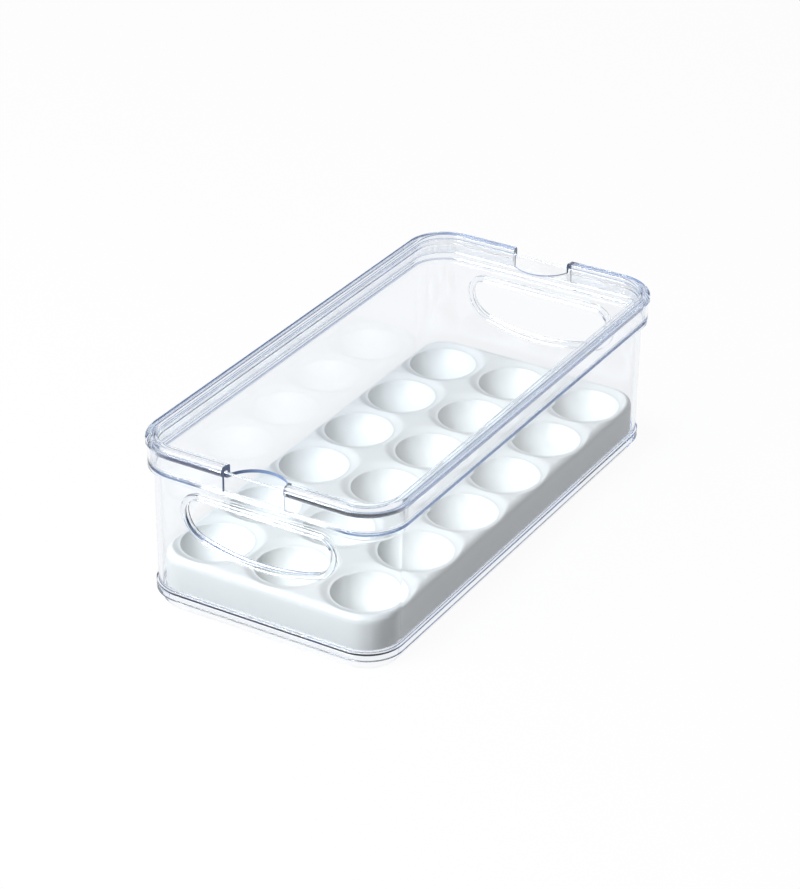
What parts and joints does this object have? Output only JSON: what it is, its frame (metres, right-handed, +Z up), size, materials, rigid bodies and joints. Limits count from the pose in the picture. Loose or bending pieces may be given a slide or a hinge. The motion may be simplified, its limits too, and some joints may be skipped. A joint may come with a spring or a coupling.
{
  "type": "egg keeper",
  "caption": "Clear rounded-rectangle egg keeper: a bin with a hand slot in each end, a lift-off lid with half-round finger notches, and a lift-out tray of round egg cups.",
  "frame": {"origin": "middle of the foot, level with its lower edge", "axes": "+Z up, Y along the length of the bin, X across it; the end at -Y is the one nearer the viewer in the picture"},
  "size_m": [0.16, 0.32, 0.1015],
  "materials": {
    "clear_plastic": "clear, faintly blue, polished",
    "white_plastic": "satin off-white"
  },
  "bodies": {
    "bin": {"bin": "clear_plastic"},
    "egg_tray": {"egg_tray": "white_plastic"},
    "lid": {"lid": "clear_plastic"}
  },
  "joints": [
    {"name": "lid_lift", "type": "slide", "parent": "bin", "child": "lid", "axis": [0, 0, 1], "range_m": [0, 0.18]},
    {"name": "tray_lift", "type": "slide", "parent": "bin", "child": "egg_tray", "axis": [0, 0, 1], "range_m": [0, 0.108]}
  ],
  "couplings": [
    {"joint": "tray_lift", "follows": "lid_lift", "ratio": 0.6}
  ]
}
